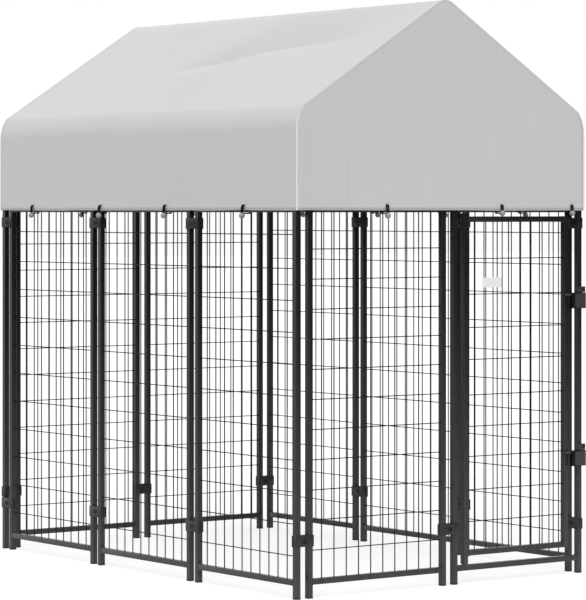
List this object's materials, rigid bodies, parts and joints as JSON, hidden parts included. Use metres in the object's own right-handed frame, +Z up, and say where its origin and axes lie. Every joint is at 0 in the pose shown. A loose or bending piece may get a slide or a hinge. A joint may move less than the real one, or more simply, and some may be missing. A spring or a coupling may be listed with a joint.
{
  "type": "outdoor dog kennel run",
  "caption": "Walk-in outdoor dog run of clamped welded-wire panels with a pivoting wire door, slide bolts and a gabled fabric roof tied on with elastic ball loops.",
  "frame": {"origin": "on the ground, under the middle of the run", "axes": "+Z up, the door wall at -Y, +X to the right when facing the door from outside"},
  "size_m": [1.2792, 1.893, 1.971],
  "materials": {
    "frame_paint": "satin black powder coat on steel tube",
    "wire_paint": "satin black powder coat on welded wire",
    "latch_paint": "satin black powder coat",
    "dark_zinc": "darkened zinc plate",
    "black_plastic": "moulded black plastic",
    "cover_cloth": "light grey coated woven cloth",
    "elastic_cord": "black braided elastic",
    "ball_plastic": "light grey moulded ball",
    "tag_plastic": "bare light tag"
  },
  "bodies": {
    "kennel": {"left_back_frame": "frame_paint", "left_back_mesh": "wire_paint", "left_middle_frame": "frame_paint", "left_middle_mesh": "wire_paint", "left_front_frame": "frame_paint", "left_front_mesh": "wire_paint", "right_front_frame": "frame_paint", "right_front_mesh": "wire_paint", "right_middle_frame": "frame_paint", "right_middle_mesh": "wire_paint", "right_back_frame": "frame_paint", "right_back_mesh": "wire_paint", "back_right_frame": "frame_paint", "back_right_mesh": "wire_paint", "back_left_frame": "frame_paint", "back_left_mesh": "wire_paint", "front_fixed_frame": "frame_paint", "front_fixed_mesh": "wire_paint", "corner_post": "frame_paint", "door_frame": "frame_paint", "hinge_pins": "dark_zinc", "upper_latch_case": "latch_paint", "lower_latch_case": "latch_paint", "latch_screws": "dark_zinc", "post_feet": "black_plastic", "post_caps": "black_plastic", "clamp_outer_plates": "frame_paint", "clamp_inner_plates": "frame_paint", "clamp_bolts": "dark_zinc", "clamp_nuts": "dark_zinc", "hoop_1_left": "frame_paint", "hoop_1_right": "frame_paint", "hoop_2_left": "frame_paint", "hoop_2_right": "frame_paint", "hoop_3_left": "frame_paint", "hoop_3_right": "frame_paint", "hoop_4_left": "frame_paint", "hoop_4_right": "frame_paint", "ridge_elbows": "frame_paint", "ridge_pole": "frame_paint", "ridge_bolts": "dark_zinc", "canopy_top_sheet": "cover_cloth", "canopy_front_gable": "cover_cloth", "canopy_back_gable": "cover_cloth", "cover_grommets": "dark_zinc", "tie_cords": "elastic_cord", "tie_balls": "ball_plastic"},
    "door_leaf": {"door_leaf_frame": "frame_paint", "door_leaf_mesh": "wire_paint", "bare_tag": "tag_plastic", "hinge_bushes": "black_plastic", "bolt_keepers": "latch_paint"},
    "upper_bolt": {"upper_slide_bolt": "latch_paint"},
    "lower_bolt": {"lower_slide_bolt": "latch_paint"}
  },
  "joints": [
    {"name": "door_swing", "type": "hinge", "parent": "kennel", "child": "door_leaf", "pos_m": [0.096, -0.915, 0.66], "axis": [0, 0, -1], "range_deg": [0, 130]},
    {"name": "upper_bolt_slide", "type": "slide", "parent": "kennel", "child": "upper_bolt", "axis": [-1, 0, 0], "range_m": [0, 0.026]},
    {"name": "lower_bolt_slide", "type": "slide", "parent": "kennel", "child": "lower_bolt", "axis": [-1, 0, 0], "range_m": [0, 0.026]}
  ]
}
